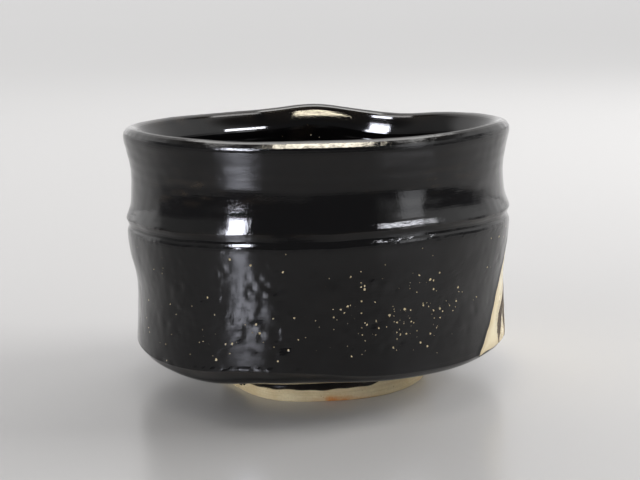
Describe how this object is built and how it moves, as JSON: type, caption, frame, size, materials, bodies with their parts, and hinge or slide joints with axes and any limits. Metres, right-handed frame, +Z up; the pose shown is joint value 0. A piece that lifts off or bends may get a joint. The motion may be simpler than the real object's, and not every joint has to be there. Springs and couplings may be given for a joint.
{
  "type": "tea bowl",
  "caption": "Round footed tea bowl with a rounded lip, a low ridge round the wall, glossy black glaze and a cream side window.",
  "frame": {"origin": "on the table, under the middle of the bowl's box, where the foot ring rests", "axes": "+Z up; -Y is the front, the face seen first; +X is to its right, where the cream window is"},
  "size_m": [0.1218, 0.1197, 0.0826],
  "materials": {
    "clay": "bare fired stoneware, matte and slightly gritty",
    "black_glaze": "glossy black iron glaze, pebbly low on the wall",
    "cream_glaze": "soft cream glaze",
    "iron_pigment": "iron brush strokes sunk into the glaze"
  },
  "bodies": {
    "root": {"clay_body": "clay", "foot_ring": "clay", "black_glaze_outside": "black_glaze", "black_glaze_inside": "black_glaze", "cream_glaze_window": "cream_glaze", "iron_brushwork": "iron_pigment", "glaze_drops_on_foot": "black_glaze"}
  },
  "joints": []
}
